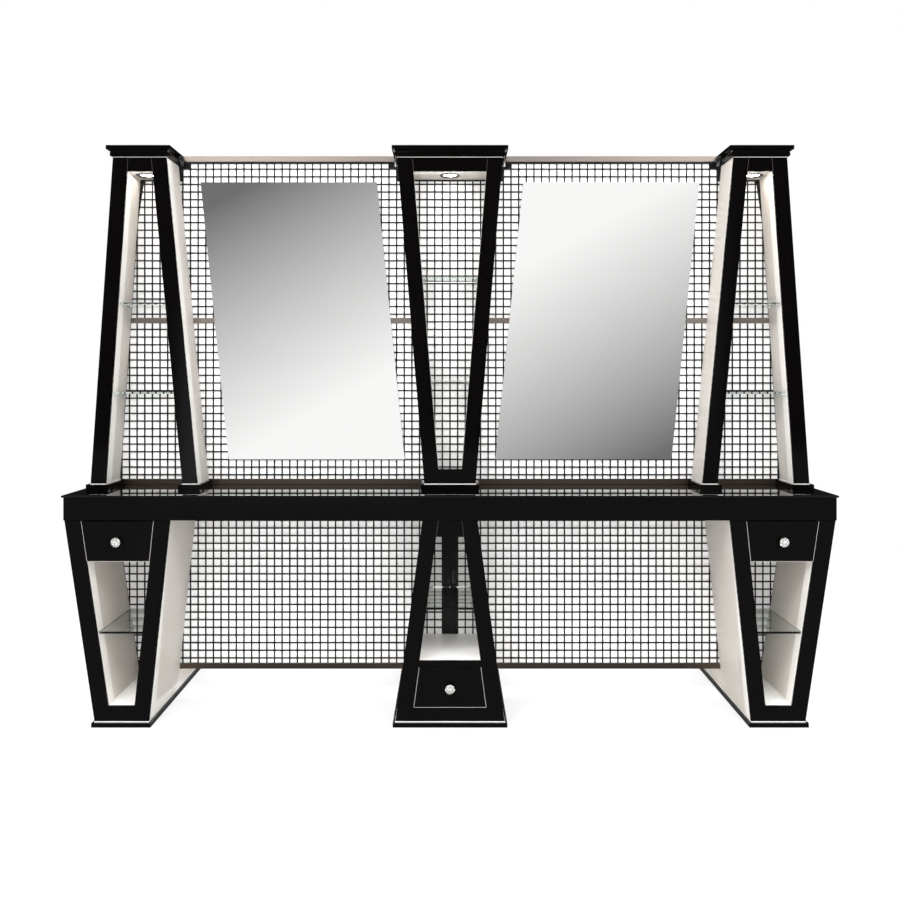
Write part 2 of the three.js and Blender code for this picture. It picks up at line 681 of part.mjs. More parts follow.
// A leaning mirror in the middle of the right bay, flat on the lattice.
function mirror() {
  const foot = worktopTop + MIRROR_ABOVE_WORKTOP;
  const top = foot + MIRROR_HEIGHT;
  const halfway = (foot + top) / 2;
  const centre = (rightTower.left(halfway) + centreTower.right(halfway)) / 2;
  const left = (z) => centre - MIRROR_WIDTH / 2 + (MIRROR_LEAN * (z - halfway)) / MIRROR_HEIGHT;
  const right = (z) => left(z) + MIRROR_WIDTH;
  const back = -panelFace - SEAT_GAP;
  return prism(trapezoid([foot, top], left, right), [back - MIRROR_THICKNESS, back]);
}

const station = new THREE.Group();
const worktopBodyTop = WORKTOP_UNDERSIDE + WORKTOP_BODY_HEIGHT;
const worktopBody = slab(WORKTOP_LENGTH, WORKTOP_DEPTH, [WORKTOP_UNDERSIDE, worktopBodyTop]);
const worktopGlass = slab(
  WORKTOP_LENGTH + 2 * GLASS_OVERHANG,
  WORKTOP_DEPTH + 2 * GLASS_OVERHANG,
  [worktopBodyTop + SEAT_GAP, worktopTop],
);
station.add(
  toMesh("worktop_body", worktopBody, blackLacquer),
  toMesh("worktop_glass", worktopGlass, blackGlass),
  toMesh("upper_panel_core", upperCore(), whiteBoard),
  toMesh("lower_panel_core", prism(lowerOutline, coreDepths), whiteBoard),
);

for (const [side, { tower, pedestal, passes }] of Object.entries(sides)) {
  const pedestalSolid =
    side === "centre"
      ? pedestalCarcass(pedestal, passes, centreFloor, centreBoardTop - BOARD_THICKNESS, 0)
      : pedestalCarcass(pedestal, passes, sideFloor, sideBoard, DRAWER_FRONT_THICKNESS);
  station.add(
    toMesh(`tower_carcass_${side}`, towerCarcass(tower, passes), whiteLacquer),
    toMesh(`pedestal_carcass_${side}`, pedestalSolid, whiteLacquer),
  );
}

// Both faces: the rear one is the front one turned half round, so its left and right change over.
const opposite = { left: "right", centre: "centre", right: "left" };
for (const face of ["front", "rear"]) {
  const half = new THREE.Group();
  half.rotation.z = face === "front" ? 0 : Math.PI;
  station.add(half);
  const named = (piece, side) => `${piece}_${face}_${face === "front" ? side : opposite[side]}`;

  half.add(
    toMesh(`upper_lattice_${face}`, upperLattice(), latticeBlack),
    toMesh(`lower_lattice_${face}`, lowerLattice(), latticeBlack),
  );
  const rightMirror = mirror();
  half.add(
    toMesh(named("mirror", "right"), rightMirror, mirrorSilver),
    toMesh(named("mirror", "left"), rightMirror.mirror([1, 0, 0]), mirrorSilver),
  );

  for (const [side, { tower, pedestal }] of Object.entries(sides)) {
    const centred = side === "centre";
    const pedestalFacing = centred ? centrePedestalFacing(pedestal) : sidePedestalFacing(pedestal);
    half.add(
      toMesh(named("tower_facing", side), towerFacing(tower, centred), blackLacquer),
      toMesh(named("pedestal_facing", side), pedestalFacing, blackLacquer),
    );

    const shelves = centred ? CENTRE_TOWER_SHELVES : SIDE_TOWER_SHELVES;
    for (const [level, height] of Object.entries(shelves)) {
      const glass = shelf(tower, worktopTop + height, towerFront);
      half.add(toMesh(named(`tower_shelf_${level}`, side), glass, clearGlass));
    }
    const pedestalShelf = centred ? CENTRE_PEDESTAL_SHELF : SIDE_PEDESTAL_SHELF;
    const glass = shelf(pedestal, pedestalShelf, pedestalFront);
    half.add(toMesh(named("pedestal_shelf", side), glass, clearGlass));

    const frontHeights = centred
      ? [centreFloor + DRAWER_GAP, centreDrawerHead - DRAWER_GAP]
      : [sideDrawerFoot, sideDrawerTop];
    const boxFoot = centred ? centreFloor : sideBoard + BOARD_THICKNESS;
    const knobHeight = (frontHeights[0] + frontHeights[1]) / 2;
    const pull = toMesh(named("knob", side), knob(), crystal);
    pull.position.set(middle(pedestal, knobHeight), -pedestalFront - SEAT_GAP, knobHeight);
    const drawerSolid = drawer(pedestal, frontHeights, boxFoot + SEAT_GAP);
    half.add(toMesh(named("drawer", side), drawerSolid, blackLacquer), pull);
  }
}

export default station;
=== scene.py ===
# %% [markdown]
# A double sided salon station, dressed for its picture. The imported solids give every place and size,
# so this lesson only adds finishes, soft edges and the small fittings that are too fine for them.
# All lengths below are written in millimetres and turned into metres where a mesh is made.

# %% Load the fixed frame
import json
import math

import bpy
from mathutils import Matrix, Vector
from mathutils.bvhtree import BVHTree


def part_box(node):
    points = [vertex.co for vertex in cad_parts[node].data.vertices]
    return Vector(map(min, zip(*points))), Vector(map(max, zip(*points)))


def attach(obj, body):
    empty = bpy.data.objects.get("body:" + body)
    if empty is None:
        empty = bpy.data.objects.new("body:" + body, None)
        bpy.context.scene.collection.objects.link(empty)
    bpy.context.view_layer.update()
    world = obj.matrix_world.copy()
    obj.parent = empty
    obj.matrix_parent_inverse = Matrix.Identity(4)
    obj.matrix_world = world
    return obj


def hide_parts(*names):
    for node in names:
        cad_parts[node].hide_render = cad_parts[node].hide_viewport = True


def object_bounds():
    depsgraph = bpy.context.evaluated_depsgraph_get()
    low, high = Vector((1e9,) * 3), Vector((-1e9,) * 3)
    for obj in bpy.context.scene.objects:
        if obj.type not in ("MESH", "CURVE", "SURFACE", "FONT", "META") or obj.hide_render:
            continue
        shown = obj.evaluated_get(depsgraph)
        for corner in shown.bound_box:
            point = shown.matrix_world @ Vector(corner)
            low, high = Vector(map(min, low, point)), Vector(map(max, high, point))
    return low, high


MM = 0.001
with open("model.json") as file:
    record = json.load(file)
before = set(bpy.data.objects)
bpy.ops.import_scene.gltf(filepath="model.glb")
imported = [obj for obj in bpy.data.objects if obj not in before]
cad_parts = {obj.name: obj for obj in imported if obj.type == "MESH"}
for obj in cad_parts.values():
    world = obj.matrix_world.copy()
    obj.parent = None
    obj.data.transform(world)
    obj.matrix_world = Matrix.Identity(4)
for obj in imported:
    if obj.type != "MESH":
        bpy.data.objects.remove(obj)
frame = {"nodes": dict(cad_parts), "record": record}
nodes = frame["nodes"]
subparts = frame["record"]["subparts"]
cad_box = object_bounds()
scene = bpy.context.scene

# %% [markdown]
# The camera stands level in front of the middle of the station. The edges of the plinths run back to
# one point in the picture, and that point gives the height of the eye. The camera could be tilted to
# frame the station, but then its uprights would lean, so the lens is shifted instead.

# %% Camera
LENS_MM = 34.08
SENSOR_MM = 36.0
CAMERA_HEIGHT = 1290.0
CAMERA_DISTANCE = 3488.6
LENS_SHIFT = -0.0811

camera_data = bpy.data.cameras.new("camera")
camera_data.lens = LENS_MM
camera_data.sensor_width = SENSOR_MM
camera_data.shift_y = LENS_SHIFT
camera = bpy.data.objects.new("camera", camera_data)
camera.location = Vector((0, -CAMERA_DISTANCE, CAMERA_HEIGHT)) * MM
camera.rotation_euler = (math.radians(90), 0, 0)
scene.collection.objects.link(camera)
scene.camera = camera
print("camera at", tuple(round(v, 3) for v in camera.location))

# %% [markdown]
# Finishes are node trees. A colour is written as sRGB hex, the way a paint chart gives it, and one
# function turns it into the linear values that the renderer works in. Another one adds a node with
# its settings and links, so that each finish below reads as a list of what it is made of.

# %% Helpers for finishes


def linear(hex_colour):
    """The linear colour of a written sRGB one, by the standard's own curve."""
    values = []
    for start in (1, 3, 5):
        channel = int(hex_colour[start : start + 2], 16) / 255
        if channel <= 0.04045:
            values.append(channel / 12.92)
        else:
            values.append(((channel + 0.055) / 1.055) ** 2.4)
    return (*values, 1.0)


def add_node(tree, kind, inputs=None, **settings):
    """Adds a node. An input is a value, or the socket that feeds it."""
    made = tree.nodes.new(kind)
    for name, value in settings.items():
        setattr(made, name, value)
    for name, value in (inputs or {}).items():
        if isinstance(value, bpy.types.NodeSocket):
            tree.links.new(value, made.inputs[name])
        else:
            made.inputs[name].default_value = value
    return made


def new_finish(name):
    """An empty finish: its material, node tree, shader and the place on the piece."""
    material = bpy.data.materials.new(name)
    material.use_nodes = True
    tree = material.node_tree
    shader = tree.nodes["Principled BSDF"]
    place = add_node(tree, "ShaderNodeTexCoord").outputs["Object"]
    return material, tree, shader, place


def per_metre(size_mm):
    """The scale of a pattern whose features repeat every so many millimetres."""
    return 1000 / size_mm


print("white is", linear("#FFFFFF")[:3])

# %% [markdown]
# Black polyester lacquer, sprayed on board and buffed. The eye gets a deep black with sharp
# reflections and a faint orange peel some millimetres across. A flat black colour could do, but the
# haze and the peel break up the reflections as sanding does. The specular level is under that of a
# bare lacquer, because the fronts in the picture show little of the room.

# %% Black high gloss lacquer
PEEL_MM = 9.0
HAZE_MM = 160.0


def black_lacquer(name):
    material, tree, shader, place = new_finish(name)
    peel = add_node(
        tree,
        "ShaderNodeTexNoise",
        {"Vector": place, "Scale": per_metre(PEEL_MM), "Detail": 2.0},
    )
    haze = add_node(
        tree,
        "ShaderNodeTexNoise",
        {"Vector": place, "Scale": per_metre(HAZE_MM), "Detail": 4.0},
    )
    gloss = add_node(
        tree,
        "ShaderNodeMapRange",
        {"Value": haze.outputs["Fac"], "To Min": 0.05, "To Max": 0.1},
    )
    tint = add_node(tree, "ShaderNodeValToRGB", {"Fac": haze.outputs["Fac"]})
    tint.color_ramp.elements[0].color = linear("#040303")
    tint.color_ramp.elements[1].color = linear("#070606")
    bump = add_node(
        tree,
        "ShaderNodeBump",
        {"Height": peel.outputs["Fac"], "Strength": 0.03, "Distance": 0.0005},
    )
    tree.links.new(tint.outputs["Color"], shader.inputs["Base Color"])
    tree.links.new(gloss.outputs["Result"], shader.inputs["Roughness"])
    tree.links.new(bump.outputs["Normal"], shader.inputs["Normal"])
    shader.inputs["IOR"].default_value = 1.5
    shader.inputs["Specular IOR Level"].default_value = 0.2
    return material


LACQUER_BLACK = black_lacquer("black_polyester_lacquer")
print("finish:", LACQUER_BLACK.name)

# %% [markdown]
# White lacquer on the carcasses is the same sprayed polyester, softer in gloss, with slight
# differences of tone across a panel. White laminate, the painted highlight strips, drawer boards and
# joint filler have such a surface too. One function with two tones and a roughness makes them all,
# which is shorter than a tree for each and keeps them alike.

# %% White lacquer and its relatives
TONE_MM = 420.0
FINE_PEEL_MM = 7.0


def sprayed(name, dark, light, roughness):
    material, tree, shader, place = new_finish(name)
    tone = add_node(
        tree,
        "ShaderNodeTexNoise",
        {"Vector": place, "Scale": per_metre(TONE_MM), "Detail": 3.0},
    )
    peel = add_node(
        tree,
        "ShaderNodeTexNoise",
        {"Vector": place, "Scale": per_metre(FINE_PEEL_MM), "Detail": 2.0},
    )
    tint = add_node(tree, "ShaderNodeValToRGB", {"Fac": tone.outputs["Fac"]})
    for end, position, colour in zip(tint.color_ramp.elements, (0.35, 0.65), (dark, light)):
        end.position = position
        end.color = linear(colour)
    bump = add_node(
        tree,
        "ShaderNodeBump",
        {"Height": peel.outputs["Fac"], "Strength": 0.01, "Distance": 0.0002},
    )
    tree.links.new(tint.outputs["Color"], shader.inputs["Base Color"])
    tree.links.new(bump.outputs["Normal"], shader.inputs["Normal"])
    shader.inputs["Roughness"].default_value = roughness
    shader.inputs["Coat Weight"].default_value = 0.12
    shader.inputs["Coat Roughness"].default_value = 0.25
    return material


# The walls of the columns are slightly matt in a darker cream, which is painted shade, and the returns
# behind the fronts brighter, which is painted light on the same lacquer.
SHADED_LACQUER_WHITE = sprayed("white_lacquer_painted_shade", "#CCC5BD", "#D5CFC8", 0.4)
LIT_RETURN_WHITE = sprayed("white_lacquer_painted_light", "#F4F0EB", "#F9F6F2", 0.25)
# Pressed laminate is a clean white with a soft sheen, and the same white on the carcass faces that
# look up is painted light from above. The drawer boxes are pale as birch.
LAMINATE_AND_LIT_TOP_WHITE = sprayed("white_laminate_and_painted_top_light", "#FBFAF8", "#FFFFFE", 0.35)
DRAWER_BOARD = sprayed("pale_birch_melamine", "#D9D2C6", "#E2DBD0", 0.4)
# The white and the grey strips are painted highlights, drawn smooth so that they read as thin bright
# lines, and filler reads as a dull grey one.
HIGHLIGHT_LINE_WHITE = sprayed("painted_highlight_white", "#EFEDE9", "#F8F7F4", 0.25)
# The grey is the painted highlight on the edges of the drawer fronts.
EDGE_HIGHLIGHT_GREY = sprayed("painted_edge_highlight_grey", "#A9A5A0", "#B7B3AE", 0.2)
FILLER = sprayed("grey_joint_filler", "#3A3634", "#4A4542", 0.3)
print("white finishes up to", FILLER.name)

# %% [markdown]
# Glass comes in three kinds. The worktop is float glass painted black on its back, dead flat and
# glossy. Shelves are clear float glass with the green cast of iron. The knobs are lead crystal with
# a higher index, and a foil behind such a stone whitens part of what is seen through it, which the
# share below stands for.

# %% Glass finishes
WIPE_MM = 240.0
SMEAR_MM = 90.0
FLOAT_GLASS_IOR = 1.52
CRYSTAL_IOR = 1.6
CRYSTAL_CLEAR_SHARE = 0.8


def black_glass(name):
    material, tree, shader, place = new_finish(name)
    wipe = add_node(
        tree,
        "ShaderNodeTexNoise",
        {"Vector": place, "Scale": per_metre(WIPE_MM), "Detail": 5.0},
    )
    gloss = add_node(
        tree,
        "ShaderNodeMapRange",
        {"Value": wipe.outputs["Fac"], "To Min": 0.015, "To Max": 0.05},
    )
    tree.links.new(gloss.outputs["Result"], shader.inputs["Roughness"])
    shader.inputs["Base Color"].default_value = linear("#060607")
    shader.inputs["IOR"].default_value = FLOAT_GLASS_IOR
    return material


def clear_glass(name, tint, ior, clear_share):
    material, tree, shader, place = new_finish(name)
    smear = add_node(
        tree,
        "ShaderNodeTexNoise",
        {"Vector": place, "Scale": per_metre(SMEAR_MM), "Detail": 3.0},
    )
    gloss = add_node(
        tree,
        "ShaderNodeMapRange",
        {"Value": smear.outputs["Fac"], "To Min": 0.0, "To Max": 0.03},
    )
    tree.links.new(gloss.outputs["Result"], shader.inputs["Roughness"])
    shader.inputs["Base Color"].default_value = linear(tint)
    shader.inputs["Transmission Weight"].default_value = clear_share
    shader.inputs["IOR"].default_value = ior
    return material


GLASS_BLACK = black_glass("black_float_glass")
GLASS_CLEAR = clear_glass("clear_float_glass", "#F1F8F4", FLOAT_GLASS_IOR, 1.0)
CRYSTAL = clear_glass("cut_lead_crystal", "#FFFDF8", CRYSTAL_IOR, CRYSTAL_CLEAR_SHARE)
print("glass:", GLASS_BLACK.name, GLASS_CLEAR.name, CRYSTAL.name)

# %% [markdown]
# Metals are silvered mirror glass, chrome on the small fittings, and the warm grey steel of the rails,
# with a darker copy of that steel on the worktop and foot rails as painted shade. Rolled steel has
# fine lines along its length, so the noise is stretched along X. Real lines are finer than a pixel of
# the picture, so they are drawn as coarse as they need to show. The mirror gets a slow ripple in place
# of lines.

# %% Metal finishes
LINE_STRETCH = 0.02
STEEL_LINE_MM = 1.2
CHROME_LINE_MM = 3.0
MIRROR_RIPPLE_MM = 400.0


def metal(name, colour, smooth, rough, line_mm):
    material, tree, shader, place = new_finish(name)
    stretch = add_node(tree, "ShaderNodeMapping", {"Vector": place, "Scale": (LINE_STRETCH, 1.0, 1.0)})
    lines = add_node(
        tree,
        "ShaderNodeTexNoise",
        {"Vector": stretch.outputs["Vector"], "Scale": per_metre(line_mm), "Detail": 3.0},
    )
    gloss = add_node(
        tree,
        "ShaderNodeMapRange",
        {"Value": lines.outputs["Fac"], "To Min": smooth, "To Max": rough},
    )
    tree.links.new(gloss.outputs["Result"], shader.inputs["Roughness"])
    shader.inputs["Base Color"].default_value = linear(colour)
    shader.inputs["Metallic"].default_value = 1.0
    return material


MIRROR = metal("silvered_mirror_glass", "#F7F7F6", 0.0, 0.012, MIRROR_RIPPLE_MM)
CHROME = metal("chromium_plate", "#DDDFE1", 0.04, 0.09, CHROME_LINE_MM)
STEEL = metal("polished_stainless_steel", "#A0968E", 0.34, 0.5, STEEL_LINE_MM)
# A darker copy of the rail steel, painted shade for the worktop and foot rails.
SHADED_RAIL_STEEL = metal("rail_steel_painted_shade", "#6E6259", 0.26, 0.42, STEEL_LINE_MM)
print("metals:", MIRROR.name, CHROME.name, STEEL.name, SHADED_RAIL_STEEL.name)

# %% [markdown]
# The downlights have an opal diffuser that glows. A lamp could hang behind it, but a shader that
# gives light keeps light and lens in one piece, and a fine grain keeps the glow from being flat.

# %% Glowing diffuser
OPAL_GRAIN_MM = 2.0


def warm_diffuser(name):
    material, tree, shader, place = new_finish(name)
    grain = add_node(tree, "ShaderNodeTexNoise", {"Vector": place, "Scale": per_metre(OPAL_GRAIN_MM)})
    glow = add_node(
        tree,
        "ShaderNodeMapRange",
        {"Value": grain.outputs["Fac"], "To Min": 24.0, "To Max": 30.0},
    )
    tree.links.new(glow.outputs["Result"], shader.inputs["Emission Strength"])
    shader.inputs["Base Color"].default_value = linear("#FFF8EC")
    shader.inputs["Emission Color"].default_value = linear("#FFFCF6")
    return material


DIFFUSER = warm_diffuser("opal_diffuser")
print("finish:", DIFFUSER.name)

# %% [markdown]
# The lattice bars are painted with black satin enamel. It is rougher than the lacquer, so the many
# small bars stay dark and even, and it has the fine grain of a brushed or rolled coat.

# %% Satin enamel on the lattice
ENAMEL_GRAIN_MM = 1.5


def satin_enamel(name):
    material, tree, shader, place = new_finish(name)
    grain = add_node(
        tree,
        "ShaderNodeTexNoise",
        {"Vector": place, "Scale": per_metre(ENAMEL_GRAIN_MM), "Detail": 3.0},
    )
    gloss = add_node(
        tree,
        "ShaderNodeMapRange",
        {"Value": grain.outputs["Fac"], "To Min": 0.25, "To Max": 0.4},
    )
    bump = add_node(
        tree,
        "ShaderNodeBump",
        {"Height": grain.outputs["Fac"], "Strength": 0.1, "Distance": 0.0002},
    )
    tree.links.new(gloss.outputs["Result"], shader.inputs["Roughness"])
    tree.links.new(bump.outputs["Normal"], shader.inputs["Normal"])
    shader.inputs["Base Color"].default_value = linear("#0E0C0C")
    shader.inputs["Specular IOR Level"].default_value = 0.3
    return material


ENAMEL_BLACK = satin_enamel("black_satin_enamel")
print("finishes:", len(bpy.data.materials))

# %% [markdown]
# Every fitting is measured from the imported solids, so that it follows them. The levels of a solid
# are the places of its corners along one axis. A line sent along X through a solid gives each place
# where it goes in or comes out, which is an edge to fit against. Numbers copied from the part would
# be shorter, but they would go wrong as soon as a size changed.

# %% Measuring the solids
FACES = {"front": -1, "rear": 1}
SIDES = ("left", "centre", "right")
solid_trees = {}


def levels(node, axis):
    """The places of a solid's corners along an axis, in millimetres, in rising order."""
    corners = nodes[node].data.vertices
    return sorted({round(getattr(corner.co, axis) / MM, 1) for corner in corners})


def box_mm(node):
    low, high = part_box(node)
    return Vector(low) / MM, Vector(high) / MM


def crossings(node, depth_mm, height_mm):
    """Where a line along X, at a depth and a height, enters and leaves a solid, in millimetres."""
    if node not in solid_trees:
        mesh = nodes[node].data
        corners = [vertex.co for vertex in mesh.vertices]
        solid_trees[node] = BVHTree.FromPolygons(corners, [face.vertices for face in mesh.polygons])
    along = Vector((1, 0, 0))
    start = Vector((cad_box[0][0] - 1, depth_mm * MM, height_mm * MM))
    found = []
    while True:
        hit = solid_trees[node].ray_cast(start, along)[0]
        if hit is None:
            return found
        found.append(hit.x / MM)
        start = hit + along * 1e-5


def spans_between(obstacles, depth_mm, height_mm):
    """The free lengths along X between solids, from the first solid to the last one."""
    taken = []
    for node in obstacles:
        edges = crossings(node, depth_mm, height_mm)
        taken += list(zip(edges[0::2], edges[1::2]))
    taken.sort()
    return [(left[1], right[0]) for left, right in zip(taken, taken[1:])]


print("first levels of a tower front:", levels("tower_facing_front_left", "z")[:4])

# %% [markdown]
# These are the faces and heights that several fittings share. Depths count outwards from the middle
# of the station, so one value serves the front and the rear.

# %% Shared faces and heights
block_top, tower_head, neck_top = levels("tower_facing_front_left", "z")[1:4]
tower_front = -levels("tower_facing_front_left", "y")[-4]
plinth_top = levels("pedestal_facing_front_left", "z")[1]
pedestal_head = levels("pedestal_facing_front_centre", "z")[-2]
pedestal_front = -levels("pedestal_facing_front_left", "y")[1]
panel_face = -levels("upper_lattice_front", "y")[0]
mirror_front, mirror_back = (-depth for depth in levels("mirror_front_left", "y"))
print("fronts at", tower_front, "and", pedestal_front, "partition face at", panel_face)

# %% [markdown]
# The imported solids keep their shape. Flat facets are joined again and every edge gets a small round,
# because a real lacquered edge is sanded and that thin round is what catches the light. The rounds
# could be modelled in the part, but a modifier leaves the solids alone.

# %% Dress the solids
FINISH_OF_SLOT = {
    "black_lacquer": LACQUER_BLACK,
    "black_glass": GLASS_BLACK,
    "white_board": LAMINATE_AND_LIT_TOP_WHITE,
    "lattice_black": ENAMEL_BLACK,
    "mirror": MIRROR,
    "white_lacquer": SHADED_LACQUER_WHITE,
    "clear_glass": GLASS_CLEAR,
    "crystal": CRYSTAL,
}
ROUND_OF_SLOT = {
    "black_lacquer": 1.2,
    "black_glass": 0.8,
    "white_lacquer": 1.2,
    "mirror": 1.0,
    "clear_glass": 0.8,
}


def ease_edges(piece, round_mm, segments=2, sharper_than=40):
    edge = piece.modifiers.new("eased_edge", "BEVEL")
    edge.width = round_mm * MM
    edge.segments = segments
    edge.limit_method = "ANGLE"
    edge.angle_limit = math.radians(sharper_than)
    edge.harden_normals = True


def join_facets(piece):
    flat = piece.modifiers.new("join_flat_facets", "DECIMATE")
    flat.decimate_type = "DISSOLVE"
    flat.angle_limit = math.radians(1)


for subpart in subparts:
    piece = nodes[subpart["node"]]
    slot = subpart["material_slot"]
    piece.data.materials.clear()
    piece.data.materials.append(FINISH_OF_SLOT[slot])
    if slot in ROUND_OF_SLOT:
        join_facets(piece)
        ease_edges(piece, ROUND_OF_SLOT[slot], sharper_than=30)
print("dressed", len(subparts), "solids")

# %% [markdown]
# A carcass has three whites: a darker cream on its walls that is painted shade, a brighter white on
# the returns just behind the fronts that is painted light, and laminate on its boards, which is given
# to every face that looks up as painted light from above. A drawer has a black front on a pale box.
# Each solid is one piece, so the finishes are given face by face, and the place and direction of a
# face say what it belongs to.

# %% Second finishes, face by face
RETURN_DEPTH = 50.0
FACE_TOLERANCE = 0.5
LEVEL_FACE = 0.9


def add_finish(piece, finish, faces):
    piece.data.materials.append(finish)
    for face in faces:
        face.material_index = len(piece.data.materials) - 1


def near_the_fronts(piece, depth_mm):
    """The faces of a solid that lie wholly within a depth behind its two fronts."""
    corners = piece.data.vertices
    limit = max(abs(corner.co.y) for corner in corners) - (depth_mm + FACE_TOLERANCE) * MM
    for face in piece.data.polygons:
        if all(abs(corners[index].co.y) >= limit for index in face.vertices):
            yield face


def behind_the_front(node):
    """The faces of a drawer that belong to its box."""
    depths = sorted((abs(depth) for depth in levels(node, "y")), reverse=True)
    limit = (depths[1] - 2 * FACE_TOLERANCE) * MM
    return [face for face in nodes[node].data.polygons if abs(face.center.y) < limit]


for name, piece in nodes.items():
    if "_carcass_" in name:
        # The returns near the fronts get the brighter white, painted light against the shaded walls.
        add_finish(piece, LIT_RETURN_WHITE, near_the_fronts(piece, RETURN_DEPTH))
        # Every face that looks up gets the laminate white, painted light from above.
        lit_tops = [face for face in piece.data.polygons if face.normal.z > LEVEL_FACE]
        add_finish(piece, LAMINATE_AND_LIT_TOP_WHITE, lit_tops)
    if name.startswith("drawer_"):
        add_finish(piece, DRAWER_BOARD, behind_the_front(name))
        print(name, "has a pale box")

# %% [markdown]
# There are three ways of making a small fitting: a bar drawn along X, a turned piece, and a flat
# frame that runs round a box. Blender's own primitives could be scaled to fit, but points worked
# out in millimetres meet the solids exactly. Like fittings grow in one shape and become one piece,
# which rides on a body of the frame.

# %% Making small fittings


class Shape:
    """Points and faces that grow, so that many like fittings can share one piece."""

    def __init__(self):
        self.points = []
        self.faces = []

    def add(self, points, faces):
        start = len(self.points)
        self.points += points
        self.faces += [tuple(index + start for index in face) for face in faces]

    def bar(self, section, ends_at):
        """A bar along X. Its section is a ring of (depth, height), its ends may lean with height."""
        count = len(section)
        starts = [(ends_at(height)[0], depth, height) for depth, height in section]
        stops = [(ends_at(height)[1], depth, height) for depth, height in section]
        sides = [(i, (i + 1) % count, (i + 1) % count + count, i + count) for i in range(count)]
        caps = [tuple(range(count))[::-1], tuple(range(count, 2 * count))]
        self.add(starts + stops, sides + caps)

    def turned(self, profile, origin, axis, sides, hollow=False):
        """A turned fitting. Its profile is a list of (reach along the axis, radius)."""
        turn = Vector((0, 0, 1)).rotation_difference(Vector(axis))
        points = []
        for reach, radius in profile:
            for step in range(sides):
                angle = 2 * math.pi * step / sides
                local = Vector((radius * math.cos(angle), radius * math.sin(angle), reach))
                points.append(Vector(origin) + turn @ local)
        rings = [range(start, start + sides) for start in range(0, len(points), sides)]
        faces = []
        for ring, after in zip(rings, rings[1:] + rings[:1] if hollow else rings[1:]):
            for step in range(sides):
                beside = (step + 1) % sides
                faces.append((ring[step], ring[beside], after[beside], after[step]))
        if not hollow:
            faces = [tuple(rings[0])[::-1], *faces, tuple(rings[-1])]
        self.add(points, faces)

    def frame(self, low, high, width):
        """A flat frame round the box from low to high, lying level."""
        inner_low = (low[0] + width, low[1] + width)
        inner_high = (high[0] - width, high[1] - width)
        outer = [(low[0], low[1]), (high[0], low[1]), (high[0], high[1]), (low[0], high[1])]
        inner = [inner_low, (inner_high[0], inner_low[1]), inner_high, (inner_low[0], inner_high[1])]
        points = []
        for height in (low[2], high[2]):
            points += [(x, y, height) for x, y in outer + inner]
        faces = []
        for i in range(4):
            j = (i + 1) % 4
            faces.append((i, j, j + 8, i + 8))
            faces.append((j + 4, i + 4, i + 12, j + 12))
            faces.append((j, i, i + 4, j + 4))
            faces.append((i + 8, j + 8, j + 12, i + 12))
        self.add(points, faces)


def new_piece(name, shape, finish, body="root", smooth=False):
    mesh = bpy.data.meshes.new(name)
    mesh.from_pydata([Vector(point) * MM for point in shape.points], [], shape.faces)
    mesh.materials.append(finish)
    for face in mesh.polygons:
        face.use_smooth = smooth
    piece = bpy.data.objects.new(name, mesh)
    scene.collection.objects.link(piece)
    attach(piece, body)
    return piece


print("fittings are bars, turned pieces and frames")

# %% [markdown]
# Steel flats cover the seams of the partition: one halfway up, broken by the mirrors, one on the
# worktop and one at the foot. On the real station they are cut to length between the towers. Here
# the free lengths are measured at the lower and upper edge, so the ends lean with the walls.

# %% Steel flats on the partition
RAIL_GAP = 0.15
RAIL_THICK = 2.6
RAIL_END_GAP = 0.6
RAIL_ROUND = 0.8
RAIL_PROBE = 1.0
MID_RAIL = (1509.0, 1531.0)
WORKTOP_RAIL_LIFT = 0.1
FOOT_RAIL_LIFT = 0.2
rail_face = panel_face + RAIL_GAP
mirror_middle = (mirror_front + mirror_back) / 2


def leaning_ends(low, high, span_low, span_high):
    """A function that gives the two ends of a bar at a height, from its spans at two heights."""

    def ends_at(height):
        share = (height - low) / (high - low)
        start = span_low[0] + share * (span_high[0] - span_low[0])
        stop = span_low[1] + share * (span_high[1] - span_low[1])
        return start + RAIL_END_GAP, stop - RAIL_END_GAP

    return ends_at


def flat_bars(name, heights, obstacles, face, finish):
    """Flat bars in the free lengths between solids, all but the one across the middle."""
    low, high = heights
    sign = FACES[face]
    depth = sign * mirror_middle
    spans_low = spans_between(obstacles, depth, low + RAIL_PROBE)
    spans_high = spans_between(obstacles, depth, high - RAIL_PROBE) or spans_low
    inner = sign * rail_face
    outer = sign * (rail_face + RAIL_THICK)
    section = [(inner, low), (outer, low), (outer, high), (inner, high)]
    if sign > 0:
        section.reverse()
    bars = Shape()
    for span_low, span_high in zip(spans_low, spans_high):
        across_middle = abs(span_low[0] + span_low[1]) < 1
        if not across_middle:
            bars.bar(section, leaning_ends(low, high, span_low, span_high))
    piece = new_piece(f"{name}_{face}", bars, finish)
    ease_edges(piece, RAIL_ROUND)
    print(name, face, len(spans_low), "free lengths")


upper_levels = levels("upper_lattice_front", "z")
lower_levels = levels("lower_lattice_front", "z")
worktop_rail = (upper_levels[0] + WORKTOP_RAIL_LIFT, upper_levels[4])
foot_rail = (lower_levels[0] + FOOT_RAIL_LIFT, lower_levels[3])
for face in FACES:
    walls = [f"tower_carcass_{side}" for side in SIDES]
    mirrors = [f"mirror_{face}_left", f"mirror_{face}_right"]
    flat_bars("mid_rail", MID_RAIL, walls + mirrors, face, STEEL)
# The worktop and foot rails take the darker steel, which is painted shade.
for face in FACES:
    foot_blocks = [f"tower_facing_{face}_{side}" for side in SIDES]
    flat_bars("worktop_rail", worktop_rail, foot_blocks, face, SHADED_RAIL_STEEL)
for face in FACES:
    walls = [f"pedestal_carcass_{side}" for side in SIDES]
    flat_bars("foot_rail", foot_rail, walls, face, SHADED_RAIL_STEEL)

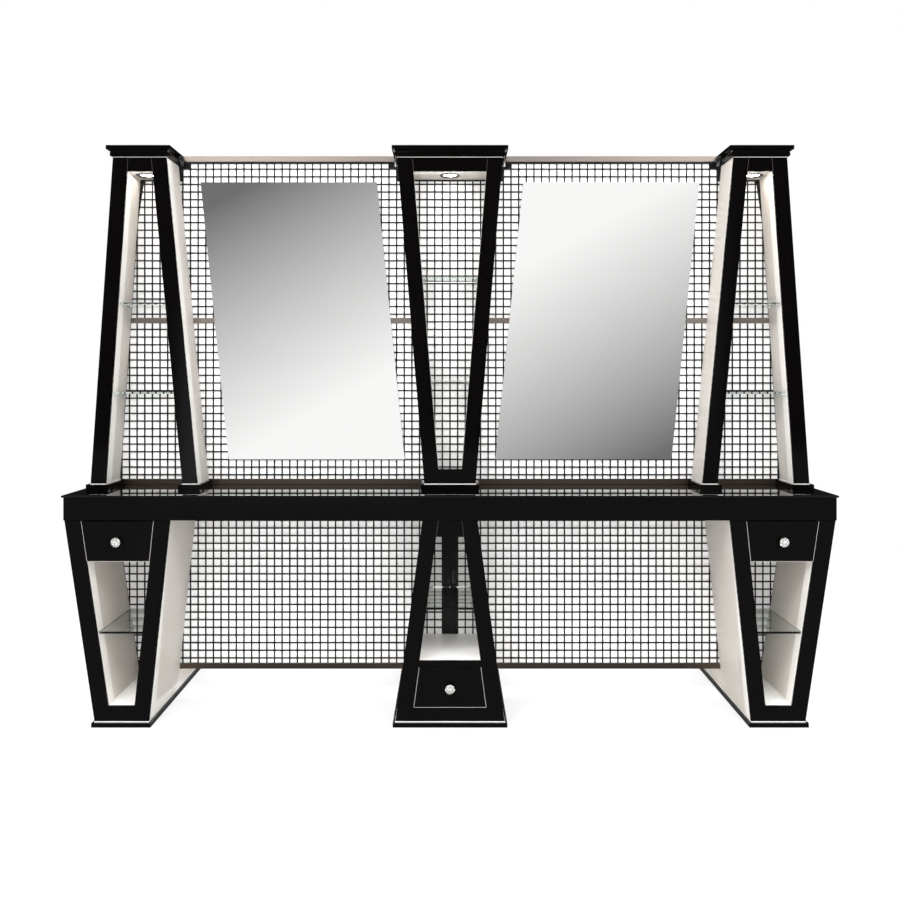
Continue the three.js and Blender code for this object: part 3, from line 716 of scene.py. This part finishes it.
# %% [markdown]
# A folded steel channel is clipped over each top rail, a millimetre thick and open below. A box with
# a shell modifier could stand for it, but the folded section as one ring of points is exact.

# %% Top channels
CHANNEL_GAP = 0.2
CHANNEL_THICK = 1.0
CHANNEL_END_GAP = 0.5
CHANNEL_ROUND = 0.3
RAIL_TOP_INSET = 5.0

rail_half = levels("upper_panel_core", "y")[-1]
rail_low = levels("upper_panel_core", "z")[4]
rail_top = levels("upper_panel_core", "z")[-1]
rail_ends = crossings("upper_panel_core", 0, rail_top - RAIL_TOP_INSET)


def channel_section():
    inside = rail_half + CHANNEL_GAP
    outside = inside + CHANNEL_THICK
    roof = rail_top + CHANNEL_GAP
    return [
        (-outside, rail_low),
        (-inside, rail_low),
        (-inside, roof),
        (inside, roof),
        (inside, rail_low),
        (outside, rail_low),
        (outside, roof + CHANNEL_THICK),
        (-outside, roof + CHANNEL_THICK),
    ]


for side, (start, stop) in (("left", rail_ends[0:2]), ("right", rail_ends[2:4])):
    ends = (start + CHANNEL_END_GAP, stop - CHANNEL_END_GAP)
    channel = Shape()
    channel.bar(channel_section(), lambda height: ends)
    ease_edges(new_piece(f"top_channel_{side}", channel, STEEL), CHANNEL_ROUND)
    print("top channel from", round(start, 1), "to", round(stop, 1))

# %% [markdown]
# Each glass shelf rests on four turned chrome studs with a collar, pushed into the walls just under
# its corners. They are turned here too, with the axis along X, and start where a line at their
# height meets the two walls.

# %% Shelf studs
STUD_RADIUS = 3.0
STUD_TIP = 2.2
COLLAR_RADIUS = 5.0
STUD_FROM_EDGE = 24.0
STUD_UNDER_GLASS = 0.1
STUD_SIDES = 20
STUD_ROUND = 0.25
STUD_PROFILE = [
    (0.2, COLLAR_RADIUS),
    (1.6, COLLAR_RADIUS),
    (2.2, STUD_RADIUS),
    (12.2, STUD_RADIUS),
    (13.0, STUD_TIP),
]


def studs_under(studs, shelf, carcass):
    low, high = box_mm(shelf)
    height = low.z - STUD_RADIUS - STUD_UNDER_GLASS
    for depth in (low.y + STUD_FROM_EDGE, high.y - STUD_FROM_EDGE):
        walls = crossings(carcass, depth, height)
        studs.turned(STUD_PROFILE, (walls[1], depth, height), (1, 0, 0), STUD_SIDES)
        studs.turned(STUD_PROFILE, (walls[2], depth, height), (-1, 0, 0), STUD_SIDES)


shelves = [name for name in nodes if "_shelf_" in name]
for face in FACES:
    for side in SIDES:
        for column in ("tower", "pedestal"):
            studs = Shape()
            for shelf in shelves:
                if shelf.startswith(column) and shelf.endswith(f"{face}_{side}"):
                    studs_under(studs, shelf, f"{column}_carcass_{side}")
            ease_edges(new_piece(f"{column}_studs_{face}_{side}", studs, CHROME), STUD_ROUND)
print("studs under", len(shelves), "shelves")

# %% [markdown]
# A downlight fills the round recess in each tower's ceiling: a spun ring in black enamel round an
# opal diffuser. Both are turned about a line that points down. The ring is a closed loop in section,
# so it is turned hollow, and the lens is a shallow dome.

# %% Downlights
LAMP_SIDES = 48
RING_RADIUS = 41.0
RING_OUT = 2.4
LENS_RADIUS = 25.0
RING_PROFILE = [
    (-5.0, LENS_RADIUS + 1.0),
    (-5.0, 34.0),
    (0.2, 36.0),
    (0.2, RING_RADIUS),
    (1.4, RING_RADIUS - 0.4),
    (RING_OUT, RING_RADIUS - 3.0),
    (RING_OUT, LENS_RADIUS + 5.0),
    (0.6, LENS_RADIUS + 1.0),
]
LENS_PROFILE = [
    (-4.0, LENS_RADIUS),
    (-1.5, LENS_RADIUS),
    (-0.6, LENS_RADIUS * 0.8),
    (0.0, LENS_RADIUS * 0.4),
    (0.2, 0.5),
]
RECESS_PROBE = 4.0
DOWN = (0, 0, -1)

ceiling = levels("tower_carcass_left", "z")[-4]
carcass_front = levels("tower_carcass_left", "y")[-1]
lamp_depth = (carcass_front + mirror_back) / 2
for side in SIDES:
    for face, sign in FACES.items():
        depth = sign * lamp_depth
        recess = crossings(f"tower_carcass_{side}", depth, ceiling + RECESS_PROBE)
        middle = ((recess[1] + recess[2]) / 2, depth, ceiling)
        ring = Shape()
        ring.turned(RING_PROFILE, middle, DOWN, LAMP_SIDES, hollow=True)
        piece = new_piece(f"downlight_ring_{face}_{side}", ring, ENAMEL_BLACK, smooth=True)
        lens = Shape()
        lens.turned(LENS_PROFILE, middle, DOWN, LAMP_SIDES)
        new_piece(f"downlight_lens_{face}_{side}", lens, DIFFUSER, smooth=True)
print("downlights at depth", lamp_depth, "under a ceiling at", ceiling)

# %% [markdown]
# The knobs are cut crystal: a girdle of ten flats, a crown that steps up to a table and a pavilion
# that runs down to a chrome rosette. The pavilion is silvered, as it is behind such stones, so that
# they sparkle on a dark front. A coarse turned shape gives flat facets without a modifier. Each
# stone takes the place of the plain knob of the part and moves with its drawer.

# %% Crystal knobs
KNOB_FLATS = 10
KNOB_ROUND = 0.3
GIRDLE_HALF = 2.0
NECK_SHARE = 0.26
GIRDLE_SHARE = 0.62
CROWN_SHARE = 0.86
CULET_RADIUS_SHARE = 0.36
CROWN_RADIUS_SHARE = 0.72
TABLE_RADIUS_SHARE = 0.46
ROSETTE_RADIUS = 9.0
ROSETTE_SIDES = 32


def stone_profile(length, radius):
    girdle = GIRDLE_SHARE * length
    return [
        (NECK_SHARE * length, CULET_RADIUS_SHARE * radius),
        (girdle - GIRDLE_HALF, radius),
        (girdle + GIRDLE_HALF, radius),
        (CROWN_SHARE * length, CROWN_RADIUS_SHARE * radius),
        (length, TABLE_RADIUS_SHARE * radius),
    ]


def rosette_profile(neck):
    return [
        (0.0, ROSETTE_RADIUS),
        (1.6, ROSETTE_RADIUS),
        (2.8, ROSETTE_RADIUS - 2.0),
        (3.4, 5.0),
        (5.4, 4.4),
        (neck - 1.6, 5.2),
        (neck - 0.1, 6.6),
    ]


def crystal_knob(face, side):
    node = f"knob_{face}_{side}"
    body = f"drawer_unit_{face}_{side}"
    outward = (0, FACES[face], 0)
    low, high = box_mm(node)
    length = high.y - low.y
    radius = (high.z - low.z) / 2
    foot = (low + high) / 2
    foot.y = min(low.y, high.y, key=abs)

    stone = Shape()
    stone.turned(stone_profile(length, radius), foot, outward, KNOB_FLATS)
    piece = new_piece(f"crystal_{face}_{side}", stone, CRYSTAL, body)
    piece.data.materials.append(CHROME)
    for pavilion in list(piece.data.polygons)[1 : 1 + KNOB_FLATS]:
        pavilion.material_index = 1
    ease_edges(piece, KNOB_ROUND, segments=1)
    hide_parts(node)

    rosette = Shape()
    rosette.turned(rosette_profile(NECK_SHARE * length), foot, outward, ROSETTE_SIDES)
    new_piece(f"rosette_{face}_{side}", rosette, CHROME, body, smooth=True)


for face in FACES:
    for side in SIDES:
        crystal_knob(face, side)
print("knobs cut with", KNOB_FLATS, "flats")

# %% [markdown]
# A bright line shows where one block stands on another: over the plinths, on the foot blocks of the
# towers and under their caps. It is light caught at the ledge of that joint, painted here as a thin
# white strip: a flat frame that stands a millimetre proud is enough, and its round takes the light
# too.

# %% White edging lines
EDGING_HIGH = 2.2
PLINTH_LINE_HIGH = 3.8
CAP_LINE_HIGH = 1.6
CAP_LINE_GAP = 0.2
EDGING_LIFT = 0.1
EDGING_OUT = 1.0
EDGING_WIDE = 5.0
EDGING_ROUND = 0.2
EDGING_PROBE = 2.0
PROBE_INSET = 4.0
BLOCK_BACK_GAP = 1.1


# The white frame is a painted highlight along the joint.
def highlight_line(name, left, right, depths, base, tall=EDGING_HIGH):
    back, front = sorted(depths)
    low = (left - EDGING_OUT, back - EDGING_OUT, base + EDGING_LIFT)
    high = (right + EDGING_OUT, front + EDGING_OUT, base + tall)
    line = Shape()
    line.frame(low, high, EDGING_WIDE)
    ease_edges(new_piece(name, line, HIGHLIGHT_LINE_WHITE), EDGING_ROUND)


for side in SIDES:
    pedestal = f"pedestal_facing_front_{side}"
    foot = crossings(pedestal, PROBE_INSET - pedestal_front, plinth_top + EDGING_PROBE)
    depths = (-pedestal_front, pedestal_front)
    highlight_line(f"plinth_line_{side}", foot[0], foot[-1], depths, plinth_top, PLINTH_LINE_HIGH)

    tower = f"tower_facing_front_{side}"
    neck = crossings(tower, PROBE_INSET - tower_front, neck_top - EDGING_PROBE)
    depths = (-tower_front, tower_front)
    base = neck_top - CAP_LINE_HIGH - CAP_LINE_GAP
    highlight_line(f"cap_line_{side}", neck[0], neck[-1], depths, base, CAP_LINE_HIGH)

    legs = crossings(tower, PROBE_INSET - tower_front, block_top + EDGING_PROBE)
    for face, sign in FACES.items():
        depths = (sign * (mirror_back + BLOCK_BACK_GAP), sign * tower_front)
        for number, (left, right) in enumerate(zip(legs[0::2], legs[1::2]), 1):
            highlight_line(f"block_line_{face}_{side}_{number}", left, right, depths, block_top)
print("edging lines run round", len(SIDES), "columns")

# %% [markdown]
# The fronts are framed like joinery: a rail between two stiles. The joints show as hairlines in the
# lacquer, a fraction of a millimetre proud where the filler has lifted. Two stiles with a seam
# between them stand in the middle of the lower partition. All are upright strips, made as bars with
# short, leaning ends.

# %% Joint hairlines and the double post
HAIRLINE_WIDE = 0.9
HAIRLINE_IN = 0.5
HAIRLINE_OUT = 0.12
HAIRLINE_PROBE = 1.0
HAIRLINE_LIFT = 0.5
CAP_CLEAR = 4.0
POST_HALF = 26.5
POST_SEAM = 2.0
POST_THICK = 1.65
POST_ROUND = 0.6
POST_FOOT_GAP = 1.0
POST_HEAD_GAP = 0.7

post_low = levels("pedestal_carcass_centre", "z")[4] + POST_FOOT_GAP
post_high = levels("lower_panel_core", "z")[-1] - POST_HEAD_GAP


def upright(shape, heights, depths, ends_low, ends_high):
    """A strip that stands up between two heights and leans with what it lies on."""
    low, high = heights
    near, far = depths
    section = [(near, low), (far, low), (far, high), (near, high)]
    if far > near:
        section.reverse()
    shape.bar(section, lambda height: ends_low if height == low else ends_high)


def rail_joints(shape, facing, sign, front, heights):
    """The two joints at the ends of a top rail, in line with the inner edges of the stiles."""
    low, high = heights
    probe = sign * (front - PROBE_INSET)
    under = crossings(facing, probe, low - HAIRLINE_PROBE)
    over = crossings(facing, probe, high)
    stile = under[1] - under[0]
    depths = (sign * (front - HAIRLINE_IN), sign * (front + HAIRLINE_OUT))
    half = HAIRLINE_WIDE / 2
    for foot, head in ((under[1], over[0] + stile), (under[2], over[-1] - stile)):
        ends_low = (foot - half, foot + half)
        ends_high = (head - half, head + half)
        upright(shape, (low + HAIRLINE_LIFT, high), depths, ends_low, ends_high)


for face, sign in FACES.items():
    hairlines = Shape()
    for side in SIDES:
        rail = (tower_head, neck_top - CAP_CLEAR)
        rail_joints(hairlines, f"tower_facing_{face}_{side}", sign, tower_front, rail)
    rail = (pedestal_head, post_high)
    rail_joints(hairlines, f"pedestal_facing_{face}_centre", sign, pedestal_front, rail)
    new_piece(f"joint_hairlines_{face}", hairlines, FILLER)

    post = Shape()
    depths = (sign * rail_face, sign * (rail_face + POST_THICK))
    for ends in ((-POST_HALF, -POST_SEAM / 2), (POST_SEAM / 2, POST_HALF)):
        upright(post, (post_low, post_high), depths, ends, ends)
    piece = new_piece(f"double_post_{face}", post, ENAMEL_BLACK)
    ease_edges(piece, POST_ROUND)
print("hairlines and posts on", len(FACES), "faces, posts from", post_low, "to", post_high)

# %% [markdown]
# A bright line shows in the dark gap round each drawer front: along the bottom and up both sides. It
# is light caught by the front's rounded edge, painted here as a grey strip. Painted on the thin edge
# faces it would be lost in the render, so the strip is a piece of its own, a little proud of the
# front. It moves with the drawer.

# %% Drawer edge strips
STRIP_WIDE = 1.2
STRIP_IN = 1.0
STRIP_OUT = 0.15
STRIP_PROBE = 0.5
STRIP_PROBE_INSET = 2.0


def front_heights(node):
    """The lowest and the highest corner of a drawer's front face, in millimetres."""
    corners = [corner.co for corner in nodes[node].data.vertices]
    front = max(abs(corner.y) for corner in corners) - STRIP_PROBE * MM
    heights = [corner.z / MM for corner in corners if abs(corner.y) > front]
    return min(heights), max(heights)


def edge_strips(face, side):
    sign = FACES[face]
    node = f"drawer_{face}_{side}"
    low, high = front_heights(node)
    probe = sign * (pedestal_front - STRIP_PROBE_INSET)
    at_low = crossings(node, probe, low + STRIP_PROBE)
    at_high = crossings(node, probe, high - STRIP_PROBE)
    depths = (sign * (pedestal_front - STRIP_IN), sign * (pedestal_front + STRIP_OUT))
    strips = Shape()
    left = (at_low[0], at_high[0])
    right = (at_low[-1] - STRIP_WIDE, at_high[-1] - STRIP_WIDE)
    for foot, head in (left, right):
        upright(strips, (low, high), depths, (foot, foot + STRIP_WIDE), (head, head + STRIP_WIDE))
    bottom = (at_low[0], at_low[-1])
    upright(strips, (low, low + STRIP_WIDE), depths, bottom, bottom)
    # The strip is a painted highlight on the edge of the front.
    new_piece(f"edge_strip_{face}_{side}", strips, EDGE_HIGHLIGHT_GREY, f"drawer_unit_{face}_{side}")


for face in FACES:
    for side in SIDES:
        edge_strips(face, side)
print("edge strips on", len(FACES) * len(SIDES), "drawers")

# %% [markdown]
# The station stands on a plain pale floor that takes its shadow. The floor is white to the camera,
# more so away from the station, and grey in reflections, so that black fronts stay black. A white
# sheet under stronger light would do the same, but it would also light the station from below.

# %% Floor
FLOOR_HALF = 12.0
FLOOR_DROP = 0.0005
FLOOR_IN_GLOSS = 0.25
SHADOW_REACH = 1.4
BLANK_REACH = 4.5
BLANK_SHARE_NEAR = 0.72

scene.view_settings.view_transform = "Standard"


def floor_finish(name):
    material = bpy.data.materials.new(name)
    material.use_nodes = True
    tree = material.node_tree
    paint = tree.nodes["Principled BSDF"]
    paint.inputs["Base Color"].default_value = linear("#F4F4F4")
    paint.inputs["Roughness"].default_value = 0.7
    white = add_node(tree, "ShaderNodeEmission", {"Color": (1, 1, 1, 1), "Strength": 1.0})
    grey = add_node(tree, "ShaderNodeEmission", {"Color": (1, 1, 1, 1), "Strength": FLOOR_IN_GLOSS})
    path = add_node(tree, "ShaderNodeLightPath")
    seen = add_node(
        tree,
        "ShaderNodeMath",
        {0: path.outputs["Is Camera Ray"], 1: path.outputs["Is Transmission Ray"]},
        operation="MAXIMUM",
    )
    place = add_node(tree, "ShaderNodeTexCoord").outputs["Object"]
    reach = add_node(tree, "ShaderNodeVectorMath", {0: place}, operation="LENGTH")
    blank = add_node(
        tree,
        "ShaderNodeMapRange",
        {
            "Value": reach.outputs["Value"],
            "From Min": SHADOW_REACH,
            "From Max": BLANK_REACH,
            "To Min": BLANK_SHARE_NEAR,
            "To Max": 1.0,
        },
    )
    share = add_node(
        tree,
        "ShaderNodeMath",
        {0: seen.outputs[0], 1: blank.outputs["Result"]},
        operation="MULTIPLY",
    )
    lit = add_node(
        tree,
        "ShaderNodeMixShader",
        {0: share.outputs[0], 1: paint.outputs[0], 2: white.outputs[0]},
    )
    surface = add_node(
        tree,
        "ShaderNodeMixShader",
        {0: path.outputs["Is Glossy Ray"], 1: lit.outputs[0], 2: grey.outputs[0]},
    )
    tree.links.new(surface.outputs[0], tree.nodes["Material Output"].inputs["Surface"])
    return material


floor_mesh = bpy.data.meshes.new("floor")
turns = [(-1, -1), (1, -1), (1, 1), (-1, 1)]
floor_points = [(FLOOR_HALF * x, FLOOR_HALF * y, 0) for x, y in turns]
floor_mesh.from_pydata(floor_points, [], [(0, 1, 2, 3)])
floor_mesh.materials.append(floor_finish("pale_floor"))
floor = bpy.data.objects.new("floor", floor_mesh)
floor.location.z = -FLOOR_DROP
scene.collection.objects.link(floor)
print("floor of", 2 * FLOOR_HALF, "metres")

# %% [markdown]
# Each face of the station gets the same three lights: a key and a fill, high up so that the mirrors
# don't show them, and a wide low light that only softens shadows. The low one is hidden from gloss.
# Sizes and places here are in metres.

# %% Soft boxes


def soft_box(name, place, target, size, watts):
    data = bpy.data.lights.new(name, "AREA")
    data.shape = "RECTANGLE"
    data.size, data.size_y = size
    data.energy = watts
    lamp = bpy.data.objects.new(name, data)
    lamp.location = place
    lamp.rotation_euler = (Vector(target) - Vector(place)).to_track_quat("-Z", "Y").to_euler()
    scene.collection.objects.link(lamp)
    return lamp


KEY_WATTS = 240
FILL_WATTS = 150
LOW_WATTS = 110
BOX_TARGET = (0, 0, 0.9)
LOW_TARGET = (0, 0, 0.8)

for face, sign in FACES.items():
    key_place = (sign * 2.4, sign * 3.9, 5.2)
    soft_box(f"key_{face}", key_place, BOX_TARGET, (2.6, 2.2), KEY_WATTS)
    fill_place = (-sign * 2.8, sign * 3.7, 4.8)
    soft_box(f"fill_{face}", fill_place, BOX_TARGET, (2.2, 2.2), FILL_WATTS)
    low_place = (0, sign * 5.0, 1.6)
    low_light = soft_box(f"front_fill_{face}", low_place, LOW_TARGET, (4.0, 1.8), LOW_WATTS)
    low_light.visible_glossy = False
    print("lights for the", face)

# %% [markdown]
# The mirrors need a room to look into. Two tall cards stand behind the camera, one for each mirror,
# shaded from dark grey to white, mostly upwards and a little across. A photographer would hang such
# cards to give a mirror its gradient. Only reflections see them, and the rear has a pair of its own.

# %% Grey cards for the mirrors
CARD_DISTANCE = 6.0
CARD_OUTER = 2.9
CARD_INNER_LOW = 0.4
CARD_INNER_HIGH = 0.74
CARD_BOTTOM = 0.1
CARD_TOP = 3.7
CARD_ACROSS = 0.28
CARD_UPWARD = 1 - CARD_ACROSS
CARD_DARK = 0.17
CARD_LIGHT = 1.0
CARD_DARK_UNTIL = 0.13
CARD_LIGHT_FROM = 0.72


def card_finish(name, light_side, light_end):
    """A glow that runs from a dark corner up to a light one."""
    material = bpy.data.materials.new(name)
    material.use_nodes = True
    tree = material.node_tree
    tree.nodes.remove(tree.nodes["Principled BSDF"])
    place = add_node(tree, "ShaderNodeTexCoord").outputs["Generated"]
    axes = add_node(tree, "ShaderNodeSeparateXYZ", {"Vector": place})
    low, high = (CARD_ACROSS, 0.0) if light_side == "left" else (0.0, CARD_ACROSS)
    across = add_node(
        tree,
        "ShaderNodeMapRange",
        {"Value": axes.outputs["X"], "To Min": low, "To Max": high},
    )
    low, high = (CARD_UPWARD, 0.0) if light_end == "bottom" else (0.0, CARD_UPWARD)
    upward = add_node(
        tree,
        "ShaderNodeMapRange",
        {"Value": axes.outputs["Z"], "To Min": low, "To Max": high},
    )
    total = add_node(
        tree,
        "ShaderNodeMath",
        {0: across.outputs["Result"], 1: upward.outputs["Result"]},
        operation="ADD",
    )
    shade = add_node(
        tree,
        "ShaderNodeMapRange",
        {
            "Value": total.outputs[0],
            "From Min": CARD_DARK_UNTIL,
            "From Max": CARD_LIGHT_FROM,
            "To Min": CARD_DARK,
            "To Max": CARD_LIGHT,
        },
    )
    glow = add_node(tree, "ShaderNodeEmission", {"Strength": shade.outputs["Result"]})
    tree.links.new(glow.outputs[0], tree.nodes["Material Output"].inputs["Surface"])
    return material


def grey_card(name, sign, hand, light_side, light_end):
    outline = [
        (CARD_INNER_LOW, CARD_BOTTOM),
        (CARD_OUTER, CARD_BOTTOM),
        (CARD_OUTER, CARD_TOP),
        (CARD_INNER_HIGH, CARD_TOP),
    ]
    points = [(hand * across, sign * CARD_DISTANCE, height) for across, height in outline]
    mesh = bpy.data.meshes.new(name)
    mesh.from_pydata(points, [], [(0, 1, 2, 3)])
    mesh.materials.append(card_finish(name, light_side, light_end))
    card = bpy.data.objects.new(name, mesh)
    scene.collection.objects.link(card)
    card.visible_camera = False
    card.visible_diffuse = False
    card.visible_shadow = False
    card.visible_transmission = False


grey_card("card_front_left", FACES["front"], -1, "right", "bottom")
grey_card("card_front_right", FACES["front"], 1, "left", "top")
grey_card("card_rear_left", FACES["rear"], -1, "right", "top")
grey_card("card_rear_right", FACES["rear"], 1, "left", "bottom")
print("cards at", CARD_DISTANCE, "metres from the middle")

# %% [markdown]
# The room gives soft light, more from the left than from the right, so that the walls of the columns
# differ. It is white to the camera and dim in reflections straight ahead, where black lacquer looks,
# and brighter towards the sides.

# %% Room
ROOM_LEFT = 1.0
ROOM_RIGHT = 0.36
GLOSS_AHEAD = 0.015
GLOSS_ASIDE = 0.4
ASIDE_UNTIL = 0.76
AHEAD_FROM = 0.9

world = bpy.data.worlds.new("studio")
scene.world = world
world.use_nodes = True
tree = world.node_tree
soft_light = tree.nodes["Background"]
soft_light.inputs["Color"].default_value = (1, 1, 1, 1)
path = add_node(tree, "ShaderNodeLightPath")
direction = add_node(tree, "ShaderNodeTexCoord").outputs["Generated"]
axes = add_node(tree, "ShaderNodeSeparateXYZ", {"Vector": direction})
ahead = add_node(tree, "ShaderNodeMath", {0: axes.outputs["Y"]}, operation="ABSOLUTE")
in_gloss = add_node(
    tree,
    "ShaderNodeMapRange",
    {
        "Value": ahead.outputs[0],
        "From Min": ASIDE_UNTIL,
        "From Max": AHEAD_FROM,
        "To Min": GLOSS_ASIDE,
        "To Max": GLOSS_AHEAD,
    },
    interpolation_type="SMOOTHSTEP",
)
around = add_node(
    tree,
    "ShaderNodeMapRange",
    {
        "Value": axes.outputs["X"],
        "From Min": -1.0,
        "From Max": 1.0,
        "To Min": ROOM_LEFT,
        "To Max": ROOM_RIGHT,
    },
)
level = add_node(
    tree,
    "ShaderNodeMix",
    {
        "Factor": path.outputs["Is Glossy Ray"],
        "A": around.outputs["Result"],
        "B": in_gloss.outputs["Result"],
    },
)
tree.links.new(level.outputs["Result"], soft_light.inputs["Strength"])
white = add_node(tree, "ShaderNodeBackground", {"Color": (1, 1, 1, 1), "Strength": 1.0})
seen = add_node(
    tree,
    "ShaderNodeMath",
    {0: path.outputs["Is Camera Ray"], 1: path.outputs["Is Transmission Ray"]},
    operation="MAXIMUM",
)
room = add_node(
    tree,
    "ShaderNodeMixShader",
    {0: seen.outputs[0], 1: soft_light.outputs[0], 2: white.outputs[0]},
)
tree.links.new(room.outputs[0], tree.nodes["World Output"].inputs["Surface"])
print("room light from", ROOM_RIGHT, "to", ROOM_LEFT)
